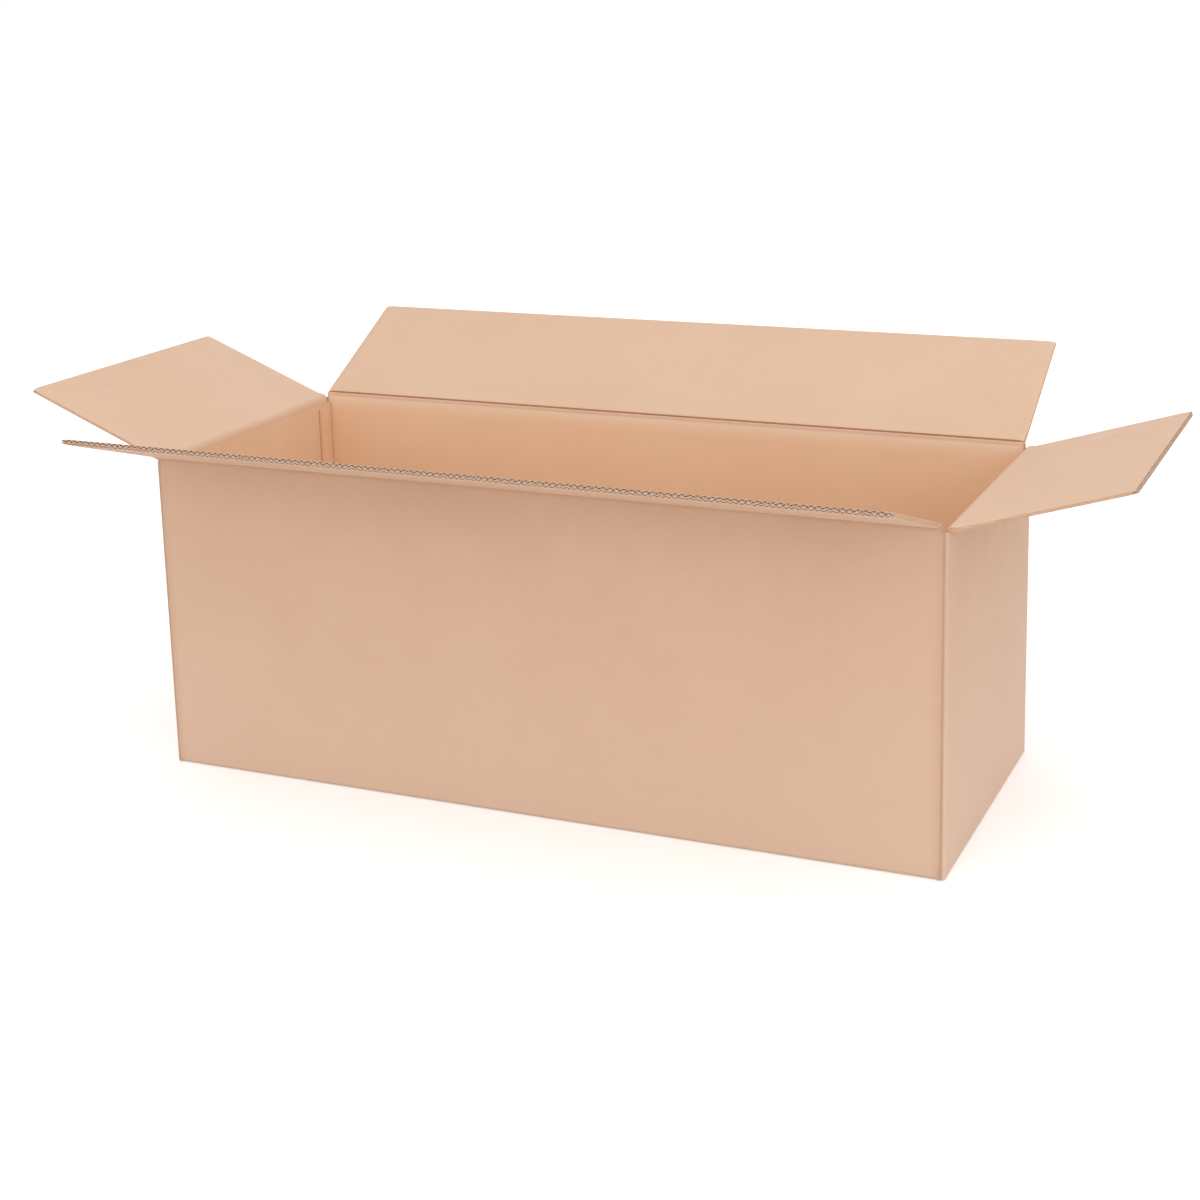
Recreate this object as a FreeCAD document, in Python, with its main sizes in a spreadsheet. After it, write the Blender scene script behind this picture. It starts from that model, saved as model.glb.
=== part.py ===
import FreeCAD, Part
import math
import os
import Sketcher

# Open slotted carton of double-wall corrugated board, folded from one blank.
# Millimetres. +X runs along the box, +Y to its rear, +Z up. The origin is on the floor under its centre.

doc = FreeCAD.newDocument("OpenCarton")

# Driving dimensions

DIMENSIONS = [
    # outer size of the standing box, and the crease line of the long top flaps above the floor
    ("box_length", 1000.0),
    ("box_depth", 400.0),
    ("crease_height", 400.0),
    # board: three liners, with a fine flute under the outside and a coarse flute under the inside
    ("liner_thickness", 0.3),
    ("fine_flute_height", 2.5),
    ("coarse_flute_height", 3.6),
    ("fine_flute_pitch", 6.5),
    ("coarse_flute_pitch", 7.95),
    ("flute_wall", 0.5),
    ("flute_channel_depth", 40.0),
    # upright corners and bottom folds
    ("corner_radius", 7.0),
    ("fold_radius", 5.0),
    ("foot_radius", 3.0),
    # pressed crease between a wall and its top flap, and how far it folds each way from upright
    ("crease_bead_radius", 1.0),
    ("crease_gap", 0.3),
    ("fold_in_angle", 90.0),
    ("fold_out_angle", 135.0),
    # slots that part the flaps at the corners, and the gaps between the folded plies
    ("slot_inset", 7.0),
    ("slot_relief", 1.0),
    ("flap_end_gap", 0.5),
    ("ply_gap", 0.3),
    ("seam_gap", 1.0),
    # glued joint at the rear left corner
    ("glue_tab_width", 25.0),
    ("glue_tab_thickness", 5.0),
    ("glue_tab_foot", 12.0),
    ("glue_tab_head", 6.0),
    ("glue_tab_taper", 6.0),
    ("joint_edge_gap", 1.5),
    # tape along the bottom seam
    ("tape_width", 60.0),
    ("tape_thickness", 0.1),
    ("tape_end_inset", 4.0),
    # how far each top flap stands open, from upright
    ("front_open_angle", 72.0),
    ("back_open_angle", 62.0),
    ("left_open_angle", 68.0),
    ("right_open_angle", 73.0),
]
sheet = doc.addObject("Spreadsheet::Sheet", "Dims")
for row, (alias, number) in enumerate(DIMENSIONS, start=1):
    sheet.set(f"A{row}", alias)
    sheet.set(f"B{row}", str(number))
    sheet.setAlias(f"B{row}", alias)
doc.recompute()

# Sizes that follow from the driving ones, as expressions

BOARD = "(3 * Dims.liner_thickness + Dims.fine_flute_height + Dims.coarse_flute_height)"
HALF_BOARD = f"({BOARD} / 2)"
PLY = f"({BOARD} + Dims.ply_gap)"
OUTER_X = "(Dims.box_length / 2)"
OUTER_Y = "(Dims.box_depth / 2)"
INNER_X = f"({OUTER_X} - {BOARD})"
INNER_Y = f"({OUTER_Y} - {BOARD})"
SLOT_X = f"({OUTER_X} - Dims.slot_inset)"
CORNER = "Dims.corner_radius"
FOLD = "Dims.fold_radius"

# The short flaps fold in first, so their creases lie one ply lower than those of the long flaps.
# The blank has one straight edge, so the short flaps are longer by the same amount.
LONG_CREASE_Z = "Dims.crease_height"
SHORT_CREASE_Z = f"({LONG_CREASE_Z} - {PLY})"
LONG_CREASE_Y = f"({OUTER_Y} - {HALF_BOARD})"
SHORT_CREASE_X = f"({OUTER_X} - {HALF_BOARD})"
LONG_REACH = f"({LONG_CREASE_Y} - Dims.seam_gap / 2)"
SHORT_REACH = f"({LONG_REACH} + {PLY})"
LONG_HALF_WIDTH = f"({SLOT_X} - Dims.flap_end_gap)"
SHORT_HALF_WIDTH = f"({INNER_Y} - Dims.flap_end_gap)"

# The crease is pressed thin. Wall and flap slope away from it on both faces, which lets the flap turn.
IN_SLOPE = "(Dims.fold_in_angle / 2)"
OUT_SLOPE = "(Dims.fold_out_angle / 2)"
SLOPE_OFFSET = "(Dims.crease_gap / 2)"
LAND_DROP = "(Dims.crease_bead_radius + Dims.crease_gap)"
IN_DROP = f"({HALF_BOARD} * tan({IN_SLOPE}) + {SLOPE_OFFSET} / cos({IN_SLOPE}))"
OUT_DROP = f"({HALF_BOARD} * tan({OUT_SLOPE}) + {SLOPE_OFFSET} / cos({OUT_SLOPE}))"
LAND_IN = f"(({LAND_DROP} * cos({IN_SLOPE}) - {SLOPE_OFFSET}) / sin({IN_SLOPE}))"
LAND_OUT = f"(({LAND_DROP} * cos({OUT_SLOPE}) - {SLOPE_OFFSET}) / sin({OUT_SLOPE}))"
BEAD_RUN = f"sqrt(Dims.crease_bead_radius ^ 2 - {SLOPE_OFFSET} ^ 2)"

# Levels of the bottom, from the floor up, and of the plain part of the walls
LONG_FLOOR_Z = "Dims.tape_thickness"
SHORT_FLOOR_Z = f"({LONG_FLOOR_Z} + {PLY})"
RING_BOTTOM_Z = f"({SHORT_FLOOR_Z} + {BOARD})"
RING_TOP_Z = f"({SHORT_CREASE_Z} - {OUT_DROP} - {BOARD})"
SLOT_FOOT_Z = f"({LONG_FLOOR_Z} + Dims.slot_relief)"


def value_of(expression):
    """What an expression comes to with the sheet's present numbers."""
    return float(sheet.evalExpression(expression))


def negative(expression):
    """The negative of an expression."""
    return f"(-1 * {expression})"


def origin_plane(body, role):
    """One of the body's own origin planes."""
    return next(plane for plane in body.Origin.OriginFeatures if plane.Role == role)


def new_sketch(body, name, role, offset="0"):
    """A sketch on an origin plane of the body, moved along the plane's normal by an expression."""
    sketch = body.newObject("Sketcher::SketchObject", name)
    sketch.AttachmentSupport = [(origin_plane(body, role), "")]
    sketch.MapMode = "FlatFace"
    sketch.setExpression("AttachmentOffset.Base.z", offset)
    return sketch


def pin(sketch, edge, end, axis, expression):
    """Ties one coordinate of a point of the sketch, axis X or Y, to an expression."""
    tie = Sketcher.Constraint(f"Distance{axis}", edge, end, value_of(expression))
    index = sketch.addConstraint(tie)
    sketch.setExpression(f"Constraints[{index}]", expression)


def add_outline(sketch, corners, arcs=None):
    """A closed outline through corners, each two expressions, anticlockwise.

    arcs gives, for the side that starts at a corner, the centre of its arc and the axis along which
    the arc's far end is tied: the other coordinate of that end follows from the circle.
    """
    arcs = arcs or {}
    places = [FreeCAD.Vector(value_of(x), value_of(y), 0) for x, y in corners]
    count = len(places)
    edges = []
    for side, start in enumerate(places):
        end = places[(side + 1) % count]
        if side in arcs:
            centre = FreeCAD.Vector(*[value_of(each) for each in arcs[side][0]], 0)
            circle = Part.Circle(centre, FreeCAD.Vector(0, 0, 1), centre.distanceToPoint(start))
            first = math.atan2(start.y - centre.y, start.x - centre.x)
            last = math.atan2(end.y - centre.y, end.x - centre.x)
            curve = Part.ArcOfCircle(circle, first, last if last > first else last + 2 * math.pi)
        else:
            curve = Part.LineSegment(start, end)
        edges.append(sketch.addGeometry(curve, False))
    for side in range(count):
        sketch.addConstraint(
            Sketcher.Constraint("Coincident", edges[side], 2, edges[(side + 1) % count], 1)
        )
    for side, (x, y) in enumerate(corners):
        ends_arc = arcs.get((side - 1) % count)
        for axis, expression in (("X", x), ("Y", y)):
            if ends_arc is None or ends_arc[1] == axis:
                pin(sketch, edges[side], 1, axis, expression)
        if side in arcs:
            pin(sketch, edges[side], 3, "X", arcs[side][0][0])
            pin(sketch, edges[side], 3, "Y", arcs[side][0][1])


def pad(body, name, sketch, length, symmetric=False):
    """Adds the sketch's area to the body, one way along its normal or evenly both ways."""
    feature = body.newObject("PartDesign::Pad", name)
    feature.Profile = sketch
    feature.SideType = "Symmetric" if symmetric else "One side"
    feature.Refine = False
    feature.setExpression("Length", length)
    body.Tip = feature
    return feature


def pocket(body, name, sketch, length, symmetric=False):
    """Cuts the sketch's area out of the body, along its normal or evenly both ways."""
    feature = body.newObject("PartDesign::Pocket", name)
    feature.Profile = sketch
    feature.SideType = "Symmetric" if symmetric else "One side"
    feature.Reversed = not symmetric
    feature.Refine = False
    feature.setExpression("Length", length)
    body.Tip = feature
    return feature


def mirror(body, name, features, role):
    """Adds the features again on the far side of an origin plane."""
    feature = body.newObject("PartDesign::Mirrored", name)
    feature.Originals = features
    feature.MirrorPlane = (origin_plane(body, role), [""])
    feature.Refine = False
    body.Tip = feature
    doc.recompute()
    return feature


def crease_cap(crease, crease_z):
    """Section of a wall's top under its flap, with the outside towards +: two slopes and a narrow land."""
    outside = f"({crease} + {HALF_BOARD})"
    inside = f"({crease} - {HALF_BOARD})"
    return [
        (inside, RING_TOP_Z),
        (outside, RING_TOP_Z),
        (outside, f"({crease_z} - {OUT_DROP})"),
        (f"({crease} + {LAND_OUT})", f"({crease_z} - {LAND_DROP})"),
        (f"({crease} - {LAND_IN})", f"({crease_z} - {LAND_DROP})"),
        (inside, f"({crease_z} - {IN_DROP})"),
    ]


def long_bottom_fold():
    """Section of a long wall's foot and its bottom flap, with the outside towards +."""
    flap_end = "(Dims.seam_gap / 2)"
    ply_top = f"({LONG_FLOOR_Z} + {BOARD})"
    centre = (f"({OUTER_Y} - {FOLD})", f"({LONG_FLOOR_Z} + {FOLD})")
    corners = [
        (flap_end, LONG_FLOOR_Z),
        (centre[0], LONG_FLOOR_Z),
        (OUTER_Y, centre[1]),
        (OUTER_Y, RING_BOTTOM_Z),
        (INNER_Y, RING_BOTTOM_Z),
        (INNER_Y, ply_top),
        (flap_end, ply_top),
    ]
    return corners, {1: (centre, "Y")}


def short_bottom_fold():
    """The same for a short wall: its flap lies one ply up, its fold sinks beside the long flaps' ends."""
    flap_end = f"({SHORT_CREASE_X} - {SHORT_REACH})"
    centre = (f"({OUTER_X} - Dims.foot_radius)", f"({LONG_FLOOR_Z} + Dims.foot_radius)")
    corners = [
        (flap_end, SHORT_FLOOR_Z),
        (SLOT_X, SHORT_FLOOR_Z),
        (SLOT_X, LONG_FLOOR_Z),
        (centre[0], LONG_FLOOR_Z),
        (OUTER_X, centre[1]),
        (OUTER_X, RING_BOTTOM_Z),
        (flap_end, RING_BOTTOM_Z),
    ]
    return corners, {3: (centre, "Y")}


def rectangle(low_x, high_x, low_y, high_y):
    """Corners of a rectangle, anticlockwise."""
    return [(low_x, low_y), (high_x, low_y), (high_x, high_y), (low_x, high_y)]


def build_carton_body():
    """Walls, upright corners, glued joint and the bottom flaps: one folded sheet, one solid."""
    body = doc.addObject("PartDesign::Body", "carton_body")
    body.Label = "carton_body"

    # The walls in plan: a strip that runs from the left wall's cut edge round the box, anticlockwise,
    # to the fold of the glue tab, with a thin slit between the two.
    corner_x = f"({OUTER_X} - {CORNER})"
    corner_y = f"({OUTER_Y} - {CORNER})"
    joint_x = f"({negative(INNER_X)} + Dims.ply_gap)"
    cut_edge_y = f"({OUTER_Y} - Dims.joint_edge_gap)"
    plan = [
        (negative(corner_x), negative(OUTER_Y)),
        (corner_x, negative(OUTER_Y)),
        (OUTER_X, negative(corner_y)),
        (OUTER_X, corner_y),
        (corner_x, OUTER_Y),
        (f"({joint_x} + {FOLD})", OUTER_Y),
        (joint_x, f"({OUTER_Y} - {FOLD})"),
        (joint_x, INNER_Y),
        (INNER_X, INNER_Y),
        (INNER_X, negative(INNER_Y)),
        (negative(INNER_X), negative(INNER_Y)),
        (negative(INNER_X), cut_edge_y),
        (negative(OUTER_X), cut_edge_y),
        (negative(OUTER_X), negative(corner_y)),
    ]
    arcs = {
        1: ((corner_x, negative(corner_y)), "Y"),
        3: ((corner_x, corner_y), "X"),
        5: ((f"({joint_x} + {FOLD})", f"({OUTER_Y} - {FOLD})"), "Y"),
        13: ((negative(corner_x), negative(corner_y)), "X"),
    }
    sketch = new_sketch(body, "wall_plan", "XY_Plane", SLOT_FOOT_Z)
    add_outline(sketch, plan, arcs)
    pad(body, "walls", sketch, f"{SHORT_CREASE_Z} - {SLOT_FOOT_Z}")

    # Between the slots the walls' plain part stops short at top and foot, where the folds take over
    above = f"({SHORT_CREASE_Z} + {BOARD})"
    below = f"({LONG_FLOOR_Z} - {BOARD})"
    for name, role, reach, length in (
        ("long_wall_windows", "XZ_Plane", SLOT_X, f"2 * {OUTER_Y} + {BOARD}"),
        ("short_wall_windows", "YZ_Plane", INNER_Y, f"2 * {OUTER_X} + {BOARD}"),
    ):
        sketch = new_sketch(body, f"{name}_outline", role)
        add_outline(sketch, rectangle(negative(reach), reach, RING_TOP_Z, above))
        add_outline(sketch, rectangle(negative(reach), reach, below, RING_BOTTOM_Z))
        pocket(body, name, sketch, length, symmetric=True)

    # The glue tab on the left wall's inner face, folded from the rear wall, with slanted ends
    tab_end_y = f"({INNER_Y} - Dims.glue_tab_width)"
    tab_low = f"({RING_BOTTOM_Z} + Dims.glue_tab_foot)"
    tab_high = f"({SHORT_CREASE_Z} - Dims.glue_tab_head)"
    tab_outline = [
        (tab_end_y, f"({tab_low} + Dims.glue_tab_taper)"),
        (INNER_Y, tab_low),
        (INNER_Y, tab_high),
        (tab_end_y, f"({tab_high} - Dims.glue_tab_taper)"),
    ]
    sketch = new_sketch(body, "glue_tab_outline", "YZ_Plane", negative(INNER_X))
    add_outline(sketch, tab_outline)
    pad(body, "glue_tab", sketch, "Dims.glue_tab_thickness")

    # Tops of the walls, shaped for their flaps' creases. The rear one stops at the joint's slit.
    cap_start = f"({SLOT_X} - Dims.ply_gap)"
    sketch = new_sketch(body, "long_crease_section", "YZ_Plane", negative(cap_start))
    add_outline(sketch, crease_cap(LONG_CREASE_Y, LONG_CREASE_Z))
    long_top = pad(body, "long_wall_top", sketch, f"{cap_start} + {SLOT_X}")
    sketch = new_sketch(body, "short_crease_section", "XZ_Plane")
    add_outline(sketch, crease_cap(SHORT_CREASE_X, SHORT_CREASE_Z))
    short_top = pad(body, "short_wall_top", sketch, f"2 * {INNER_Y}", symmetric=True)

    # Feet of the walls with the bottom flaps: the short flaps lie on the long ones
    sketch = new_sketch(body, "long_bottom_section", "YZ_Plane")
    add_outline(sketch, *long_bottom_fold())
    long_foot = pad(body, "long_bottom_flap", sketch, f"2 * {cap_start}", symmetric=True)
    sketch = new_sketch(body, "short_bottom_section", "XZ_Plane")
    add_outline(sketch, *short_bottom_fold())
    short_foot = pad(
        body, "short_bottom_flap", sketch, f"2 * {SHORT_HALF_WIDTH}", symmetric=True
    )
    mirror(body, "front_top_and_foot", [long_top, long_foot], "XZ_Plane")
    mirror(body, "left_top_and_foot", [short_top, short_foot], "YZ_Plane")
    return body


def flute_count(half_width, pitch):
    """How many whole flutes a cut edge shows."""
    return f"floor(2 * ({half_width} - Dims.flute_wall) / {pitch})"


def cut_flutes(body, name, reach, half_width, pitch, base_z, crest_z):
    """Cuts one layer's flute channels into the free edge, a triangle under each wave of the flute."""
    count = flute_count(half_width, pitch)
    first_x = f"((1 - {count}) * {pitch} / 2)"
    half_base = f"({pitch} / 2 - Dims.flute_wall)"
    triangle = [
        (f"({first_x} - {half_base})", base_z),
        (f"({first_x} + {half_base})", base_z),
        (first_x, crest_z),
    ]
    if value_of(base_z) > value_of(crest_z):
        triangle = [triangle[1], triangle[0], triangle[2]]
    sketch = new_sketch(body, f"{name}_section", "XZ_Plane", negative(reach))
    add_outline(sketch, triangle)
    channel = pocket(body, name, sketch, "Dims.flute_channel_depth")
    row = body.newObject("PartDesign::LinearPattern", f"{name}_row")
    row.Originals = [channel]
    row.Direction = (sketch, ["H_Axis"])
    row.Mode = "Spacing"
    row.Refine = False
    row.setExpression("Offset", pitch)
    row.setExpression("Occurrences", count)
    body.Tip = row


def build_flap(label, reach, half_width, place, turn, open_angle):
    """A top flap: crease bead at its own origin, X along the crease, Y to the free edge, Z inwards."""
    body = doc.addObject("PartDesign::Body", label)
    body.Label = label
    inner_face = HALF_BOARD
    outer_face = negative(HALF_BOARD)
    section = [
        (IN_DROP, inner_face),
        (
            f"({SLOPE_OFFSET} * cos({IN_SLOPE}) + {BEAD_RUN} * sin({IN_SLOPE}))",
            f"({BEAD_RUN} * cos({IN_SLOPE}) - {SLOPE_OFFSET} * sin({IN_SLOPE}))",
        ),
        (
            f"({SLOPE_OFFSET} * cos({OUT_SLOPE}) + {BEAD_RUN} * sin({OUT_SLOPE}))",
            f"({SLOPE_OFFSET} * sin({OUT_SLOPE}) - {BEAD_RUN} * cos({OUT_SLOPE}))",
        ),
        (OUT_DROP, outer_face),
        (reach, outer_face),
        (reach, inner_face),
    ]
    sketch = new_sketch(body, f"{label}_section", "YZ_Plane")
    add_outline(sketch, section, {1: (("0", "0"), "Y")})
    pad(body, f"{label}_board", sketch, f"2 * {half_width}", symmetric=True)
    liner = "Dims.liner_thickness"
    coarse_crest = f"({HALF_BOARD} - {liner})"
    coarse_base = f"({coarse_crest} - Dims.coarse_flute_height)"
    fine_crest = f"({liner} - {HALF_BOARD})"
    fine_base = f"({fine_crest} + Dims.fine_flute_height)"
    cut_flutes(
        body, f"{label}_coarse_flutes", reach, half_width,
        "Dims.coarse_flute_pitch", coarse_base, coarse_crest
    )
    cut_flutes(
        body, f"{label}_fine_flutes", reach, half_width,
        "Dims.fine_flute_pitch", fine_base, fine_crest
    )
    x, y, z = place
    body.setExpression(
        "Placement",
        f"placement(vector({x}; {y}; {z}); "
        f"rotation(vector(0; 0; 1); {turn}) * rotation(vector(1; 0; 0); 90 - {open_angle}))",
    )
    return body


def build_bottom_tape():
    """The tape strip under the bottom seam."""
    body = doc.addObject("PartDesign::Body", "bottom_tape")
    body.Label = "bottom_tape"
    half_length = f"({SLOT_X} - Dims.tape_end_inset)"
    half_width = "(Dims.tape_width / 2)"
    sketch = new_sketch(body, "tape_outline", "XY_Plane")
    add_outline(sketch, rectangle(negative(half_length), half_length, negative(half_width), half_width))
    pad(body, "tape_strip", sketch, "Dims.tape_thickness")
    return body


pieces = [
    build_carton_body(),
    build_flap(
        "front_flap",
        LONG_REACH,
        LONG_HALF_WIDTH,
        ("0", negative(LONG_CREASE_Y), LONG_CREASE_Z),
        "180",
        "Dims.front_open_angle",
    ),
    build_flap(
        "back_flap",
        LONG_REACH,
        LONG_HALF_WIDTH,
        ("0", LONG_CREASE_Y, LONG_CREASE_Z),
        "0",
        "Dims.back_open_angle",
    ),
    build_flap(
        "left_flap",
        SHORT_REACH,
        SHORT_HALF_WIDTH,
        (negative(SHORT_CREASE_X), "0", SHORT_CREASE_Z),
        "90",
        "Dims.left_open_angle",
    ),
    build_flap(
        "right_flap",
        SHORT_REACH,
        SHORT_HALF_WIDTH,
        (SHORT_CREASE_X, "0", SHORT_CREASE_Z),
        "-90",
        "Dims.right_open_angle",
    ),
    build_bottom_tape(),
]
doc.recompute()

# Nothing is written unless every object is sound

for item in doc.Objects:
    if "Invalid" in item.State or "Error" in item.State:
        raise RuntimeError(f"{item.Label} did not compute: {item.State}")
shapes = {piece.Label: piece.Shape for piece in pieces}
for label, shape in shapes.items():
    if shape.isNull() or not shape.isValid() or len(shape.Solids) != 1:
        raise RuntimeError(f"{label} is not one sound solid")

os.makedirs("parts", exist_ok=True)
for label, shape in shapes.items():
    shape.exportStep(f"parts/{label}.step")
    box = shape.BoundBox
    print(
        f"{label}: volume {shape.Volume:.0f} mm3, {len(shape.Faces)} faces, "
        f"X {box.XMin:.1f} to {box.XMax:.1f}, Y {box.YMin:.1f} to {box.YMax:.1f}, "
        f"Z {box.ZMin:.1f} to {box.ZMax:.1f}"
    )
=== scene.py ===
from math import cos, exp, pi, radians, sin, tan

import bmesh
import bpy
from mathutils import Matrix, Vector


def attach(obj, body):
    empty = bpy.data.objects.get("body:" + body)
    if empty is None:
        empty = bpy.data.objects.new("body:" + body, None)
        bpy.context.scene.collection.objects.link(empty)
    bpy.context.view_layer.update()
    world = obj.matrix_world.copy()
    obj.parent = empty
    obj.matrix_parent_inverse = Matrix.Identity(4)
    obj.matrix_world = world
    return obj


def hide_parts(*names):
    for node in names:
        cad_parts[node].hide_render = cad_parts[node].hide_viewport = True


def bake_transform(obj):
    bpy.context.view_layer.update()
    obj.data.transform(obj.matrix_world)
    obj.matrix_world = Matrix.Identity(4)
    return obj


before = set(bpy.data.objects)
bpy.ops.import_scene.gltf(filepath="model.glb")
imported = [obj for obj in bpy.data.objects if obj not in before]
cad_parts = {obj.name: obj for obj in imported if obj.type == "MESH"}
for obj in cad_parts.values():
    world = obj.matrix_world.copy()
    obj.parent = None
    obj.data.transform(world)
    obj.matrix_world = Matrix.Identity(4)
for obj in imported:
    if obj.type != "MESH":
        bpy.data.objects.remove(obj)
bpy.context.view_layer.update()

# Open slotted carton of double-wall board. Metres, in the frame's axes: +X along the box, +Y to its rear, +Z up.

MM = 0.001
UP = Vector((0, 0, 1))
HALF_LENGTH = 500 * MM
HALF_DEPTH = 200 * MM
BOARD = 7 * MM
HALF_BOARD = BOARD / 2
PLY_GAP = 0.3 * MM
PLY = BOARD + PLY_GAP
LONG_CREASE_Y = HALF_DEPTH - HALF_BOARD
LONG_CREASE_Z = 400 * MM
SHORT_CREASE_X = HALF_LENGTH - HALF_BOARD
SHORT_CREASE_Z = LONG_CREASE_Z - PLY
MEETING_GAP = 0.5 * MM
LONG_REACH = LONG_CREASE_Y - MEETING_GAP
SHORT_REACH = LONG_REACH + PLY
LONG_HALF_WIDTH = 492.5 * MM
SHORT_HALF_WIDTH = 192.5 * MM

# The board's layers: three liners, with the fine flutes outside and the coarse ones inside
LINER = 0.55 * MM
MEDIUM = 0.8 * MM
FINE_FLUTE = 2.2 * MM
COARSE_FLUTE = 3.15 * MM
FINE_PITCH = 6.5 * MM
COARSE_PITCH = 7.95 * MM
FLUTE_DEPTH = 4 * MM
FLUTE_WEAR = 0.9 * MM
COLUMNS_PER_FLUTE = 14

# Each flap starts at a mitre beside its crease, which meets a bead at the crease line
IN_SLOPE = radians(45)
OUT_SLOPE = radians(67.5)
CREASE_GAP = 0.15 * MM
IN_DROP = HALF_BOARD * tan(IN_SLOPE) + CREASE_GAP / cos(IN_SLOPE)
OUT_DROP = HALF_BOARD * tan(OUT_SLOPE) + CREASE_GAP / cos(OUT_SLOPE)
BEAD = 1 * MM
CORE_TIP_IN = (0.80 * BEAD, 0.56 * BEAD)
CORE_TIP_OUT = (0.96 * BEAD, -0.22 * BEAD)

# The knife crushes the board at a flap's sides and, less so, at its free edge
SIDE_CRUSH = 0.5
SIDE_CRUSH_WIDTH = 5 * MM
EDGE_CRUSH = 0.14
EDGE_CRUSH_WIDTH = 12 * MM

# The cut middle stands back from the liners at a flap's sides, and the flutes a little at its free edge
TUCK = 0.5 * MM
FLUTE_SETBACK = 0.25 * MM


class Flap:
    """Where a top flap stands: across runs along its crease, out to its free edge, inward to its inner face."""

    def __init__(self, body, pivot, across, outdoors, open_angle, reach, half_width):
        self.body = body
        self.pivot = Vector(pivot)
        self.across = Vector(across)
        self.outdoors = Vector(outdoors)
        self.reach = reach
        self.half_width = half_width
        angle = radians(open_angle)
        self.out = self.outdoors * sin(angle) + UP * cos(angle)
        self.inward = UP * sin(angle) - self.outdoors * cos(angle)

    def at(self, along, out, inward):
        """A point given along the crease, out from it and towards the inner face."""
        return self.pivot + self.across * along + self.out * out + self.inward * inward

    def wall(self, along, down, inward):
        """A point of the wall below the crease, given the same way."""
        return self.pivot + self.across * along - UP * down - self.outdoors * inward

    def matrix(self):
        """Turns a mesh laid out as along, out, inward into its place."""
        turn = Matrix((self.across, self.out, self.inward)).transposed().to_4x4()
        return Matrix.Translation(self.pivot) @ turn

    def side_keep(self, along):
        """How much of its thickness the board keeps at a distance from the flap's middle."""
        from_side = self.half_width - abs(along)
        return 1 - SIDE_CRUSH * exp(-((from_side / SIDE_CRUSH_WIDTH) ** 2))

    def edge_keep(self, out):
        """How much of its thickness the board keeps at a distance from the crease."""
        return 1 - EDGE_CRUSH * max(0, 1 - (self.reach - out) / EDGE_CRUSH_WIDTH)


FRONT_CREASE = (0, -LONG_CREASE_Y, LONG_CREASE_Z)
BACK_CREASE = (0, LONG_CREASE_Y, LONG_CREASE_Z)
LEFT_CREASE = (-SHORT_CREASE_X, 0, SHORT_CREASE_Z)
RIGHT_CREASE = (SHORT_CREASE_X, 0, SHORT_CREASE_Z)
FLAPS = (
    Flap("front_flap", FRONT_CREASE, (-1, 0, 0), (0, -1, 0), 72, LONG_REACH, LONG_HALF_WIDTH),
    Flap("back_flap", BACK_CREASE, (1, 0, 0), (0, 1, 0), 62, LONG_REACH, LONG_HALF_WIDTH),
    Flap("left_flap", LEFT_CREASE, (0, 1, 0), (-1, 0, 0), 68, SHORT_REACH, SHORT_HALF_WIDTH),
    Flap("right_flap", RIGHT_CREASE, (0, -1, 0), (1, 0, 0), 73, SHORT_REACH, SHORT_HALF_WIDTH),
)


# Node trees and materials


class Tree:
    """A node tree with short ways to add and join its nodes."""

    def __init__(self, tree):
        self.tree = tree
        tree.nodes.clear()

    def add(self, kind, **settings):
        node = self.tree.nodes.new(kind)
        for key, setting in settings.items():
            setattr(node, key, setting)
        return node

    def link(self, source, target):
        self.tree.links.new(source, target)

    def put(self, socket, given):
        """Sets a socket to a value, or joins it to another node's output."""
        if isinstance(given, bpy.types.NodeSocket):
            self.link(given, socket)
        else:
            socket.default_value = given

    def math(self, operation, *given):
        node = self.add("ShaderNodeMath", operation=operation)
        for socket, each in zip(node.inputs, given):
            self.put(socket, each)
        return node.outputs[0]


class Look(Tree):
    """A material with one main shader."""

    def __init__(self, name):
        self.material = bpy.data.materials.new(name)
        self.material.use_nodes = True
        super().__init__(self.material.node_tree)
        self.output = self.add("ShaderNodeOutputMaterial")
        self.shader = self.add("ShaderNodeBsdfPrincipled")
        self.link(self.shader.outputs["BSDF"], self.output.inputs["Surface"])

    def set(self, **given):
        """Sets the shader's sockets, whose names are written with underscores for spaces."""
        for key, each in given.items():
            self.put(self.shader.inputs[key.replace("_", " ")], each)

    def position(self):
        return self.add("ShaderNodeTexCoord").outputs["Object"]

    def noise(self, vector, scale, detail, rough, stretch=(1, 1, 1)):
        """Fractal noise from 0 to 1, stretched along the axes."""
        mapping = self.add("ShaderNodeMapping")
        self.link(vector, mapping.inputs["Vector"])
        mapping.inputs["Scale"].default_value = stretch
        node = self.add("ShaderNodeTexNoise")
        self.link(mapping.outputs["Vector"], node.inputs["Vector"])
        node.inputs["Scale"].default_value = scale
        node.inputs["Detail"].default_value = detail
        node.inputs["Roughness"].default_value = rough
        return node.outputs["Fac"]

    def blend(self, factor, first, second):
        node = self.add("ShaderNodeMix", data_type="RGBA")
        self.put(node.inputs[0], factor)
        self.put(node.inputs[6], first)
        self.put(node.inputs[7], second)
        return node.outputs[2]

    def tint(self, colour, strength, factor, second):
        """Blends a second colour in where the factor is high, up to a strength."""
        return self.blend(self.math("MULTIPLY", factor, strength), colour, second)

    def between(self, given, low, high):
        """0 at low, 1 at high, a straight ramp between them and level beyond."""
        node = self.add("ShaderNodeMapRange")
        self.put(node.inputs["Value"], given)
        node.inputs["From Min"].default_value = low
        node.inputs["From Max"].default_value = high
        return node.outputs["Result"]

    def bump(self, height, strength, distance):
        node = self.add("ShaderNodeBump")
        node.inputs["Strength"].default_value = strength
        node.inputs["Distance"].default_value = distance
        self.link(height, node.inputs["Height"])
        self.link(node.outputs["Normal"], self.shader.inputs["Normal"])


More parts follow.
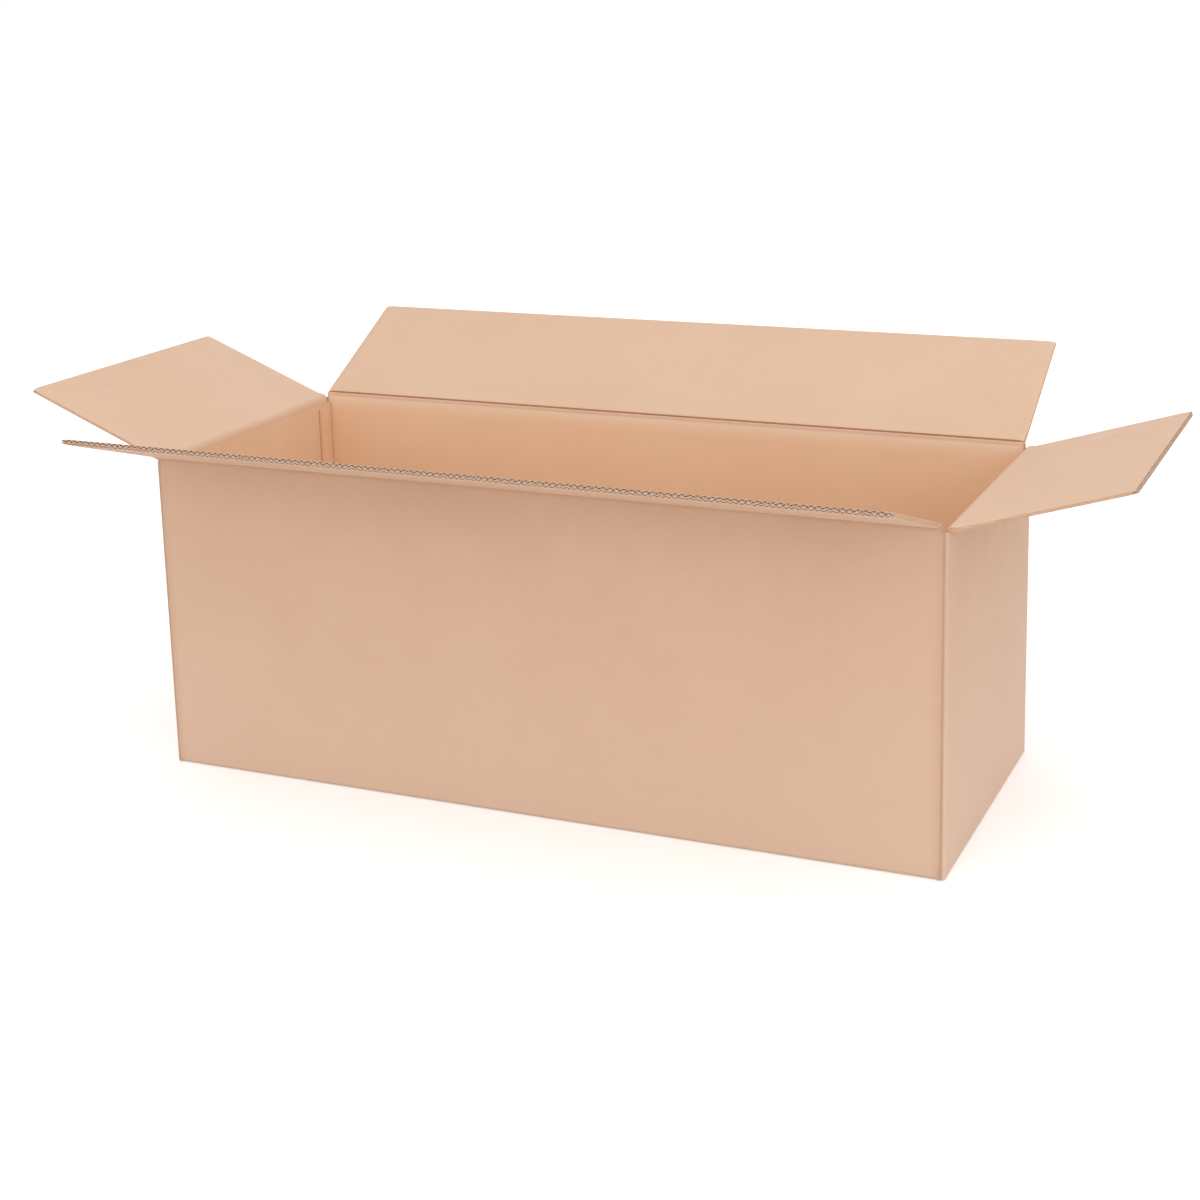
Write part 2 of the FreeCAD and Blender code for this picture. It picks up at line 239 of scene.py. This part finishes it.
def srgb(red, green, blue):
    """A colour written as it is seen, 0 to 255, made linear."""
    parts = []
    for each in (red, green, blue):
        level = each / 255
        parts.append(level / 12.92 if level <= 0.04045 else ((level + 0.055) / 1.055) ** 2.4)
    return (*parts, 1.0)


# Liner tones: the main one, the one in its clouds and that of its light fibres
OUTSIDE = srgb(207, 172, 146), srgb(198, 159, 131), srgb(216, 185, 160)
# The inside of a wall: a paler copy of the flap's liner, painted light that brightens the shade inside the box
PAINTED_LIGHT_INSIDE = srgb(236, 201, 168), srgb(230, 191, 156), srgb(240, 209, 179)
FLAP = srgb(216, 183, 157), srgb(209, 173, 146), srgb(216, 185, 160)
# Painted light: the paler tones that the outside of a long and a short wall take towards the floor
PAINTED_LIGHT_LOW_LONG = srgb(221, 190, 166)
PAINTED_LIGHT_LOW_SHORT = srgb(231, 202, 180)
# Painted highlight: the pale band that a long wall's inside takes just below its crease, where the bulge catches
# light
PAINTED_HIGHLIGHT_BELOW_CREASE = srgb(238, 213, 186)
# The pressed line at an upright corner, darkened as painted shade in the corner's fold
SCORE_LINE_AND_SHADE = srgb(160, 116, 88)
CLOUDINESS = 0.55


def kraft_liner(name, tones, across, pitch, marks=0.5, score=None, fade=None, low=None):
    """Brown kraft paper glued over flutes: cloudy tone, fibres along the machine direction, faint flute lines.

    across is the axis of the part along which the flute lines repeat: 0 for X, 1 for Y. score is how far from
    the middle the pressed line of an upright corner lies; the liner is darkened with painted shade over the 12 mm
    before it, and the line gets a dark colour that is partly painted shade in the fold. fade is the height at which
    the inside of a wall, painted paler than its flap as painted light, has taken its flap's tone. A long wall gets a
    painted highlight below that, where its bulge catches light. low is the tone of an outside near the floor,
    painted light that makes the wall paler towards the floor.
    """
    look = Look(name)
    tone, dark, speck = tones
    place = look.position()
    clouds = look.noise(place, 5.0, 3.0, 0.55)
    mottle = look.noise(place, 42.0, 5.0, 0.6)
    fibres = look.noise(place, 260.0, 3.0, 0.65, (1, 9, 9) if across == 0 else (9, 1, 9))
    flecks = look.noise(place, 900.0, 2.0, 0.5)
    split = look.add("ShaderNodeSeparateXYZ")
    look.link(place, split.inputs[0])
    height_above = split.outputs[2]
    wave = look.math("SINE", look.math("MULTIPLY", split.outputs[across], 2 * pi / pitch))
    cloudy = look.between(clouds, 0.3, 0.7)
    colour = look.tint(tone, CLOUDINESS, cloudy, dark)
    colour = look.tint(colour, 0.28, look.between(mottle, 0.35, 0.75), dark)
    colour = look.tint(colour, 0.30, look.between(fibres, 0.5, 0.85), speck)
    colour = look.tint(colour, 0.25, look.between(flecks, 0.62, 0.8), dark)
    lines = look.math("MULTIPLY_ADD", wave, 0.5, 0.5)
    patchy = look.math("MULTIPLY", lines, look.between(clouds, 0.35, 0.75))
    colour = look.tint(colour, 0.10 * marks, patchy, dark)
    # Painted light: the outside grows paler from 400 mm down to 20 mm above the floor
    if low:
        colour = look.tint(colour, 0.7, look.between(height_above, 400 * MM, 20 * MM), low)
    # The inside of a wall is painted lighter than its flap, as painted light for the shade inside the box. Near the
    # top this painted light gives way to the flap's tone
    if fade:
        turning = 9 * MM
        # On a long wall a painted highlight grows in from 20 mm to 3 mm below the fade height
        if across == 0:
            turning = 3 * MM
            colour = look.blend(look.between(height_above, fade - 20 * MM, fade - turning), colour, PAINTED_HIGHLIGHT_BELOW_CREASE)
        flap_tone = look.tint(FLAP[0], CLOUDINESS, cloudy, FLAP[1])
        colour = look.blend(look.between(height_above, fade - turning, fade), colour, flap_tone)
    # Painted shade: the liner darkens over the 12 mm before an upright corner, and a dark line lies at the corner
    # itself. That line is the pressed line, darkened further as painted shade in the fold
    if score:
        reach = look.math("ABSOLUTE", split.outputs[across])
        rising = look.between(reach, score - 12 * MM, score)
        shade = look.math("MULTIPLY", rising, look.math("LESS_THAN", reach, score))
        colour = look.tint(colour, 0.6, shade, dark)
        away = look.math("ABSOLUTE", look.math("SUBTRACT", reach, score))
        colour = look.tint(colour, 0.5, look.between(away, 2.2 * MM, 0.4 * MM), SCORE_LINE_AND_SHADE)
    look.set(Base_Color=colour, Roughness=look.math("MULTIPLY_ADD", mottle, 0.16, 0.62), Specular_IOR_Level=0.28)
    height = look.math("MULTIPLY_ADD", wave, 0.22 * marks, look.math("MULTIPLY", fibres, 0.5))
    look.bump(look.math("ADD", height, look.math("MULTIPLY", mottle, 0.9)), 0.22, 0.3 * MM)
    return look.material


def cut_board(name, tone, dark):
    """Raw cut board and flute paper, with torn fibres."""
    look = Look(name)
    place = look.position()
    fuzz = look.noise(place, 700.0, 4.0, 0.7)
    patches = look.noise(place, 90.0, 3.0, 0.6)
    colour = look.blend(look.between(fuzz, 0.35, 0.7), tone, dark)
    colour = look.tint(colour, 0.4, look.between(patches, 0.4, 0.7), dark)
    look.set(Base_Color=colour, Roughness=0.92, Specular_IOR_Level=0.1)
    look.bump(fuzz, 0.6, 0.4 * MM)
    return look.material


def packing_tape(name, tone, dark):
    """Brown film tape with faint stretch lines along its run."""
    look = Look(name)
    streaks = look.noise(look.position(), 60.0, 4.0, 0.6, (0.2, 6, 1))
    look.set(Base_Color=look.blend(look.between(streaks, 0.3, 0.8), tone, dark), Roughness=0.25, Coat_Weight=0.3)
    look.bump(streaks, 0.15, 0.2 * MM)
    return look.material


wall_x = kraft_liner("kraft_outside_long", OUTSIDE, 0, FINE_PITCH, score=495.5 * MM, low=PAINTED_LIGHT_LOW_LONG)
wall_y = kraft_liner("kraft_outside_short", OUTSIDE, 1, FINE_PITCH, low=PAINTED_LIGHT_LOW_SHORT)
inner_x = kraft_liner(
    "kraft_inside_long", PAINTED_LIGHT_INSIDE, 0, COARSE_PITCH, 1.0, score=492.4 * MM, fade=LONG_CREASE_Z - 2 * MM
)
inner_y = kraft_liner(
    "kraft_inside_short", PAINTED_LIGHT_INSIDE, 1, COARSE_PITCH, 1.0, score=192.4 * MM, fade=SHORT_CREASE_Z + 1 * MM
)
flap_out_x = kraft_liner("flap_outside_long", FLAP, 0, FINE_PITCH)
flap_out_y = kraft_liner("flap_outside_short", FLAP, 1, FINE_PITCH)
flap_in_x = kraft_liner("flap_inside_long", FLAP, 0, COARSE_PITCH, 1.0)
flap_in_y = kraft_liner("flap_inside_short", FLAP, 1, COARSE_PITCH, 1.0)
cut_edge = cut_board("cut_edge", srgb(218, 184, 155), srgb(192, 152, 121))
flute_paper = cut_board("flute_paper", srgb(228, 199, 177), srgb(210, 176, 152))
# The pit of a scored crease: darker pressed paper, darkened further as painted shade in the groove
pressed_line_and_shade = cut_board("pressed_line_and_shade", srgb(172, 126, 92), srgb(154, 108, 76))
tape = packing_tape("packing_tape", srgb(184, 143, 102), srgb(168, 126, 86))


# Meshes


def new_piece(name, mesh, body=None):
    """A finished mesh as a piece of the scene, on a body if one is named."""
    piece = bpy.data.objects.new(name, mesh)
    bpy.context.scene.collection.objects.link(piece)
    if body:
        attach(piece, body)
    return piece


def finished_mesh(name, build, materials):
    """Turns the faces outward and makes them a mesh with its materials."""
    bmesh.ops.recalc_face_normals(build, faces=build.faces)
    mesh = bpy.data.meshes.new(name)
    build.to_mesh(mesh)
    build.free()
    for material in materials:
        mesh.materials.append(material)
    return mesh


def add_bar(build, sections, material, end_material, smooth=lambda strip: False):
    """Joins equal rings of points into a closed bar. material and smooth are asked for each strip of faces."""
    rings = [[build.verts.new(point) for point in section] for section in sections]
    count = len(rings[0])
    for before, after in zip(rings, rings[1:]):
        for strip in range(count):
            following = (strip + 1) % count
            face = build.faces.new((before[strip], before[following], after[following], after[strip]))
            face.material_index = material(strip)
            face.smooth = smooth(strip)
    for end in (list(reversed(rings[0])), rings[-1]):
        build.faces.new(end).material_index = end_material


def columns(half):
    """Where the sections stand along a crease: close together near both ends, where the board is crushed."""
    near = [0, 0.5, 1.5, 3, 4.5, 6, 8, 11]
    steps = 60
    plain = half - near[-1] * MM
    places = [each * MM - half for each in near[:-1]]
    places += [-plain + 2 * plain * step / steps for step in range(steps + 1)]
    return places + [half - each * MM for each in reversed(near[:-1])]


def flap_board(flap, liners):
    """The flap's board: liners that stand proud of the cut middle at its sides and free edge."""
    inner_liner, outer_liner, cut, paper = range(4)
    side = flap.half_width
    back = flap.reach - FLUTE_DEPTH
    thin = flap.reach - EDGE_CRUSH_WIDTH
    middle = HALF_BOARD - LINER
    build = bmesh.new()

    def slab(outline, half, face_material, material):
        """A bar of one section along the flap. The section's first two sides are its face."""
        sections = [
            [flap.at(along, out, inward * flap.side_keep(along) * flap.edge_keep(out)) for out, inward in outline]
            for along in columns(half)
        ]
        add_bar(build, sections, lambda strip: face_material if strip < 2 else material, material)

    for drop, sign, liner in ((IN_DROP, 1, inner_liner), (OUT_DROP, -1, outer_liner)):
        face, under = sign * HALF_BOARD, sign * middle
        outline = [(drop, face), (thin, face), (flap.reach, face), (flap.reach, under), (thin, under), (drop, under)]
        slab(outline, side, liner, cut)
    top = middle - COARSE_FLUTE
    end = flap.reach - TUCK / 2
    slab([(back, top), (end, top), (end, top - LINER), (back, top - LINER)], side - TUCK / 2, paper, paper)
    core = [CORE_TIP_IN, (IN_DROP, middle), (thin, middle), (back, middle)]
    core += [(back, -middle), (thin, -middle), (OUT_DROP, -middle), CORE_TIP_OUT]
    slab(core, side - TUCK, cut, cut)
    return finished_mesh(f"{flap.body}_board", build, (*liners, cut_edge, flute_paper))


def fluting_tree():
    """The nodes that make one layer of wavy flute paper, ready to be laid in its place."""
    group = bpy.data.node_groups.new("flute_layer", "GeometryNodeTree")

    def new_input(label, kind, start=None):
        socket = group.interface.new_socket(label, in_out="INPUT", socket_type=f"NodeSocket{kind}")
        if start is not None:
            socket.default_value = start

    group.interface.new_socket("Geometry", in_out="OUTPUT", socket_type="NodeSocketGeometry")
    new_input("Geometry", "Geometry")
    new_input("Width", "Float", 2 * LONG_HALF_WIDTH)
    new_input("Depth", "Float", FLUTE_DEPTH)
    new_input("Pitch", "Float", COARSE_PITCH)
    new_input("Height", "Float", COARSE_FLUTE)
    new_input("Paper", "Float", MEDIUM)
    new_input("Wear", "Float", FLUTE_WEAR)
    new_input("Columns", "Int", 2000)
    new_input("Seed", "Int", 3)
    new_input("Material", "Material")
    tree = Tree(group)
    source = tree.add("NodeGroupInput").outputs
    target = tree.add("NodeGroupOutput").inputs
    grid = tree.add("GeometryNodeMeshGrid")
    tree.put(grid.inputs["Size X"], source["Width"])
    tree.put(grid.inputs["Size Y"], source["Depth"])
    tree.put(grid.inputs["Vertices X"], source["Columns"])
    tree.put(grid.inputs["Vertices Y"], 2)
    where = tree.add("ShaderNodeSeparateXYZ")
    tree.link(tree.add("GeometryNodeInputPosition").outputs[0], where.inputs[0])
    along = where.outputs[0]

    # The wear moves each crest a little along the edge and flattens it
    noise_place = tree.add("ShaderNodeCombineXYZ")
    tree.put(noise_place.inputs[0], along)
    tree.put(noise_place.inputs[1], source["Seed"])
    ripple = tree.add("ShaderNodeTexNoise", noise_dimensions="2D")
    tree.put(ripple.inputs["Scale"], 60.0)
    tree.link(noise_place.outputs[0], ripple.inputs["Vector"])
    jitter = tree.math("MULTIPLY", tree.math("SUBTRACT", ripple.outputs[0], 0.5), source["Wear"])
    shifted = tree.math("ADD", along, tree.math("MULTIPLY", jitter, 2.0))
    wave = tree.math("COSINE", tree.math("MULTIPLY", tree.math("DIVIDE", shifted, source["Pitch"]), 2 * pi))
    swing = tree.math("MULTIPLY", tree.math("SUBTRACT", source["Height"], source["Paper"]), 0.5)
    level = tree.math("MULTIPLY", wave, tree.math("SUBTRACT", swing, tree.math("MULTIPLY", jitter, 0.4)))
    offset = tree.add("ShaderNodeCombineXYZ")
    tree.put(offset.inputs[2], level)
    waved = tree.add("GeometryNodeSetPosition")
    tree.link(grid.outputs["Mesh"], waved.inputs["Geometry"])
    tree.link(offset.outputs[0], waved.inputs["Offset"])

    # The sheet gets its thickness and a closed underside
    thick = tree.add("GeometryNodeExtrudeMesh", mode="FACES")
    tree.put(thick.inputs["Individual"], False)
    tree.link(waved.outputs["Geometry"], thick.inputs["Mesh"])
    tree.put(thick.inputs["Offset Scale"], source["Paper"])
    under = tree.add("GeometryNodeFlipFaces")
    tree.link(waved.outputs["Geometry"], under.inputs[0])
    both = tree.add("GeometryNodeJoinGeometry")
    tree.link(thick.outputs["Mesh"], both.inputs[0])
    tree.link(under.outputs[0], both.inputs[0])
    welded = tree.add("GeometryNodeMergeByDistance")
    tree.link(both.outputs[0], welded.inputs["Geometry"])
    tree.put(welded.inputs["Distance"], 0.005 * MM)
    real = tree.add("GeometryNodeRealizeInstances")
    tree.link(welded.outputs[0], real.inputs[0])
    painted = tree.add("GeometryNodeSetMaterial")
    tree.link(real.outputs[0], painted.inputs["Geometry"])
    tree.put(painted.inputs["Material"], source["Material"])
    tree.link(painted.outputs[0], target["Geometry"])
    return group


def flute_layer(name, tree, flap, pitch, height, low, seed):
    """One layer of fluting in a flap's free edge, as a plain mesh in its place."""
    start = bpy.data.meshes.new(name)
    holder = bpy.data.objects.new(name, start)
    bpy.context.scene.collection.objects.link(holder)
    modifier = holder.modifiers.new("flutes", "NODES")
    modifier.node_group = tree
    width = 2 * flap.half_width - 2 * TUCK
    given = {
        "Width": width,
        "Depth": FLUTE_DEPTH,
        "Pitch": pitch,
        "Height": height,
        "Paper": MEDIUM,
        "Wear": FLUTE_WEAR,
        "Columns": int(width / pitch * COLUMNS_PER_FLUTE),
        "Seed": seed,
        "Material": flute_paper,
    }
    for item in tree.interface.items_tree:
        if item.item_type == "SOCKET" and item.in_out == "INPUT" and item.name in given:
            modifier[item.identifier] = given[item.name]
    result = bpy.data.meshes.new_from_object(holder.evaluated_get(bpy.context.evaluated_depsgraph_get()))
    bpy.data.objects.remove(holder)
    bpy.data.meshes.remove(start)
    result.name = name
    middle = flap.reach - FLUTE_DEPTH / 2 - FLUTE_SETBACK
    result.transform(Matrix.Translation((0, middle, low + height / 2 - MEDIUM / 2)))
    for vertex in result.vertices:
        vertex.co.z *= flap.side_keep(vertex.co.x) * flap.edge_keep(vertex.co.y)
    result.transform(flap.matrix())
    new_piece(name, result, flap.body)


# The surface of the crushed board beside a crease, as distances from the crease and from the board's middle in
# mm: outside on wall and flap, inside a scored crease on the wall (BULGE) and on the flap (LIP), and inside a soft
# one on both. The rows farthest from the crease sink below the plain board.
SUNK = [(25, 3.44), (24, 3.45)]
OUTER_FOLD = [*SUNK, (15, 3.53), (9, 3.55), (6, 3.5), (4.5, 3.3), (3.4, 2.9)]
BULGE = [*SUNK, (15, 3.54), (9, 3.75), (6, 3.85), (3.5, 3.8), (1.5, 3.6), (0, 3.2), (-0.9, 2.7)]
LIP = [(0.6, 2.9), (1.6, 3.45), (3, 3.55), (6, 3.55), (12, 3.53), (22, 3.45), (23, 3.44)]
SOFT_FOLD = [*SUNK, (13, 3.54)]
OUTER_PIT = 2.4 * MM
SCORED_PIT = 1.7 * MM
SOFT_RADIUS = 11 * MM
SOFT_PROUD = 3.85 * MM
SOFT_BENDS = 10
FOLD_INSET = 0.2 * MM
BEND_REACH = 6 * MM


def crease_fold(name, flap, wall_liners, liners, scored):
    """The crushed board at a flap's crease, which joins wall and flap: liners outside, torn board at its ends.

    A scored crease has a sharp pressed line inside, coloured as darker pressed paper with painted shade in its
    groove. The others bend over softly.
    """
    wall_inside, flap_outside, torn, line, wall_outside = range(5)
    toward_inside = (flap.inward - flap.outdoors).normalized()
    turn = flap.inward.angle(-flap.outdoors)
    centre = toward_inside * ((SOFT_PROUD - SOFT_RADIUS) / cos(turn / 2))

    def soft_bend(base):
        """The round of a soft fold, from the wall over to the flap."""
        for bend in range(SOFT_BENDS + 1):
            angle = turn * bend / SOFT_BENDS
            ray = -flap.outdoors * sin(turn - angle) / sin(turn) + flap.inward * sin(angle) / sin(turn)
            yield base + centre + ray.normalized() * SOFT_RADIUS

    sections = []
    for along in columns(flap.half_width - FOLD_INSET):
        keep = flap.side_keep(along)
        base = flap.pivot + flap.across * along

        def on_wall(rows, sign=1):
            return [flap.wall(along, down * MM, sign * face * MM) for down, face in rows]

        def on_flap(rows, sign=1):
            return [flap.at(along, out * MM, sign * face * MM * keep) for out, face in rows]

        outer = [*on_wall(OUTER_FOLD, -1), base - toward_inside * OUTER_PIT, *on_flap(reversed(OUTER_FOLD), -1)]
        if scored:
            inner = [*on_wall(BULGE), base + toward_inside * SCORED_PIT, *on_flap(LIP)]
        else:
            inner = [*on_wall(SOFT_FOLD), *soft_bend(base), *on_flap(reversed(SOFT_FOLD))]
        sections.append(outer + inner[::-1])

    # The strips run up the outside of the wall and flap, and back down their inside
    hidden = (len(outer) - 1, len(sections[0]) - 1)
    pit = len(outer) + len(inner) - 1 - len(BULGE)

    def material(strip):
        # The faces of a scored crease's pit get the pressed line's colour, which includes its painted shade
        if scored and strip in (pit - 1, pit):
            return line
        if strip < len(OUTER_FOLD):
            return wall_outside
        return flap_outside if strip < len(outer) - 1 else wall_inside

    build = bmesh.new()
    add_bar(build, sections, material, torn, lambda strip: strip not in hidden)
    materials = (wall_liners[0], liners[1], cut_edge, pressed_line_and_shade, wall_liners[1])
    fold = new_piece(name, finished_mesh(name, build, materials))
    flap.wall(0, BEND_REACH, 0)
    flap.at(0, BEND_REACH, 0)
    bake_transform(fold)


flute_tree = fluting_tree()
for flap in FLAPS:
    name = flap.body
    is_long = name in ("front_flap", "back_flap")
    liners = (flap_in_x, flap_out_x) if is_long else (flap_in_y, flap_out_y)
    wall_liners = (inner_x, wall_x) if is_long else (inner_y, wall_y)
    board = new_piece(f"{name}_board", flap_board(flap, liners), name)
    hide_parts(name)
    coarse_low = HALF_BOARD - LINER - COARSE_FLUTE
    fine_low = LINER - HALF_BOARD
    flute_layer(f"{name}_coarse_fluting", flute_tree, flap, COARSE_PITCH, COARSE_FLUTE, coarse_low, 3)
    flute_layer(f"{name}_fine_fluting", flute_tree, flap, FINE_PITCH, FINE_FLUTE, fine_low, 7)
    crease_fold(f"{name}_crease", flap, wall_liners, liners, scored=is_long)


# The folded blank and the tape keep their solids and get their finishes


def paint_carton(node):
    """Gives each face of the blank the liner that it shows: outside or inside, on a long or a short wall."""
    long_outside, short_outside, long_inside, short_inside, cut = range(5)
    mesh = node.data
    mesh.materials.clear()
    for material in (wall_x, wall_y, inner_x, inner_y, cut_edge):
        mesh.materials.append(material)
    for face in mesh.polygons:
        centre, normal = face.center, face.normal
        if abs(normal.z) > 0.9:
            upper_rim = centre.z > 300 * MM
            box_floor = normal.z > 0 and centre.z < 50 * MM
            face.material_index = cut if upper_rim else (long_inside if box_floor else long_outside)
        elif abs(normal.x) > abs(normal.y):
            face.material_index = short_outside if centre.x * normal.x > 0 else short_inside
        else:
            face.material_index = long_outside if centre.y * normal.y > 0 else long_inside


paint_carton(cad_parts["carton_body"])
tape_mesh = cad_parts["bottom_tape"].data
tape_mesh.materials.clear()
tape_mesh.materials.append(tape)


# Floor, light and camera

FLOOR_REACH = 30.0
FLOOR_LEVEL = -0.2 * MM
floor_corners = [(x * FLOOR_REACH, y * FLOOR_REACH, FLOOR_LEVEL) for x, y in ((-1, -1), (1, -1), (1, 1), (-1, 1))]
floor_mesh = bpy.data.meshes.new("floor")
floor_mesh.from_pydata(floor_corners, [], [(0, 1, 2, 3)])
floor = bpy.data.objects.new("floor", floor_mesh)
bpy.context.scene.collection.objects.link(floor)

# A little light of the floor's own, which falls on nothing else, keeps it white
floor_look = Look("white_floor")
floor_look.set(Base_Color=(0.90, 0.90, 0.90, 1), Roughness=0.9, Specular_IOR_Level=0.0)
kind_of_ray = floor_look.add("ShaderNodeLightPath").outputs
seen_ray = floor_look.math("MAXIMUM", kind_of_ray["Is Camera Ray"], kind_of_ray["Is Glossy Ray"])
seen_ray = floor_look.math("MAXIMUM", seen_ray, kind_of_ray["Is Transmission Ray"])
glow = floor_look.add("ShaderNodeEmission")
floor_look.link(floor_look.math("MULTIPLY", seen_ray, 0.30), glow.inputs["Strength"])
lit_floor = floor_look.add("ShaderNodeAddShader")
floor_look.link(floor_look.shader.outputs["BSDF"], lit_floor.inputs[0])
floor_look.link(glow.outputs[0], lit_floor.inputs[1])
floor_look.link(lit_floor.outputs[0], floor_look.output.inputs["Surface"])
floor_mesh.materials.append(floor_look.material)

world = bpy.data.worlds.new("studio")
bpy.context.scene.world = world
world.use_nodes = True
studio = Tree(world.node_tree)


def white_room(strength):
    """Plain white all around."""
    room = studio.add("ShaderNodeBackground")
    room.inputs["Color"].default_value = (1, 1, 1, 1)
    room.inputs["Strength"].default_value = strength
    return room.outputs[0]


pick = studio.add("ShaderNodeMixShader")
studio.link(studio.add("ShaderNodeLightPath").outputs["Is Camera Ray"], pick.inputs[0])
studio.link(white_room(0.78), pick.inputs[1])
studio.link(white_room(1.0), pick.inputs[2])
studio.link(pick.outputs[0], studio.add("ShaderNodeOutputWorld").inputs["Surface"])


def softbox(name, place, aim, size, power):
    """A square area lamp that points at a place, its size in metres and its power in watts."""
    lamp = bpy.data.lights.new(name, "AREA")
    lamp.size = size
    lamp.energy = power
    holder = bpy.data.objects.new(name, lamp)
    holder.location = place
    holder.rotation_euler = (Vector(aim) - Vector(place)).to_track_quat("-Z", "Y").to_euler()
    bpy.context.scene.collection.objects.link(holder)


softbox("key", (-0.2, -3.3, 1.5), (0, 0, 0), 2.0, 23)
softbox("fill", (3.4, -1.6, 1.6), (0.2, 0, 0.25), 2.4, 26)
softbox("top", (0.2, -0.4, 4.0), (0, -0.2, 0.3), 3.0, 34)
softbox("rear", (-1.2, 3.2, 1.4), (0, 0, 0.2), 2.2, 15)

# The camera as fitted to the photograph: angles in radians, its place in metres, the sensor in mm and the rest
# in the photograph's pixels
YAW = 0.4043
PITCH = 0.2141
ROLL = -0.02107
CAMERA_PLACE = (1.019, -2.226, 0.9927)
PHOTO = 1200
FOCAL = 2052
CENTRE_X = 640
CENTRE_Y = 400
SENSOR = 36
right = Vector((cos(YAW), sin(YAW), 0))
level_ahead = Vector((-sin(YAW), cos(YAW), 0))
ahead = level_ahead * cos(PITCH) - UP * sin(PITCH)
upright = UP * cos(PITCH) + level_ahead * sin(PITCH)
tilted_right = right * cos(ROLL) + upright * sin(ROLL)
tilted_up = upright * cos(ROLL) - right * sin(ROLL)
lens = bpy.data.cameras.new("camera")
lens.sensor_width = SENSOR
lens.lens = FOCAL * SENSOR / PHOTO
lens.shift_x = (PHOTO / 2 - CENTRE_X) / PHOTO
lens.shift_y = (CENTRE_Y - PHOTO / 2) / PHOTO
lens.clip_end = 200
camera = bpy.data.objects.new("camera", lens)
turn = Matrix((tilted_right, tilted_up, -ahead)).transposed().to_4x4()
camera.matrix_world = Matrix.Translation(CAMERA_PLACE) @ turn
bpy.context.scene.collection.objects.link(camera)
bpy.context.scene.camera = camera
bpy.context.scene.view_settings.view_transform = "Standard"
